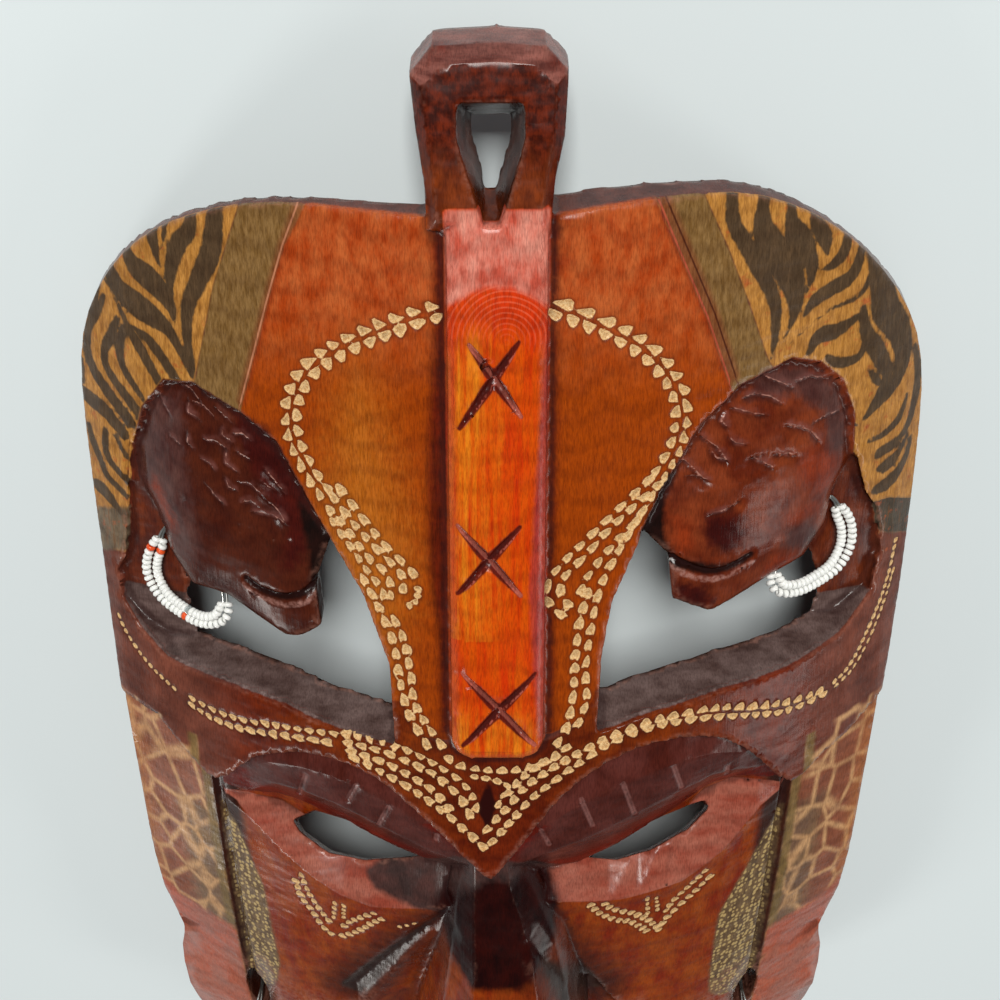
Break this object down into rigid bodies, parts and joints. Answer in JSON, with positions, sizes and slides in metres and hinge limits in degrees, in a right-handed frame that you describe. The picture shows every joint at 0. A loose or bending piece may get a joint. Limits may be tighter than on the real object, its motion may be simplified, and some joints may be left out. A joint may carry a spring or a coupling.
{
  "type": "carved wooden mask with beaded earrings",
  "caption": "Long carved and painted wooden mask with a hanging loop, two carved profile heads in openings of the brow board, and beaded earrings and lobe strands.",
  "frame": {"origin": "on the floor under the middle of the mask's overall box, with the mask lying on its back rim", "axes": "+Z out of the face, +Y from chin to hanging loop, +X to the viewer's right when the loop is at the top"},
  "size_m": [0.1763, 0.334, 0.085],
  "materials": {
    "carved_wood": "stained orange-red and dark maroon, painted olive and gold, waxed to a soft sheen",
    "glass_beads": "glossy opaque white seed beads on thin silvery wire"
  },
  "bodies": {
    "root": {"carved_mask": "carved_wood", "left_head_earring": "glass_beads", "right_head_earring": "glass_beads", "left_lobe_beads": "glass_beads", "right_lobe_beads": "glass_beads"}
  },
  "joints": []
}
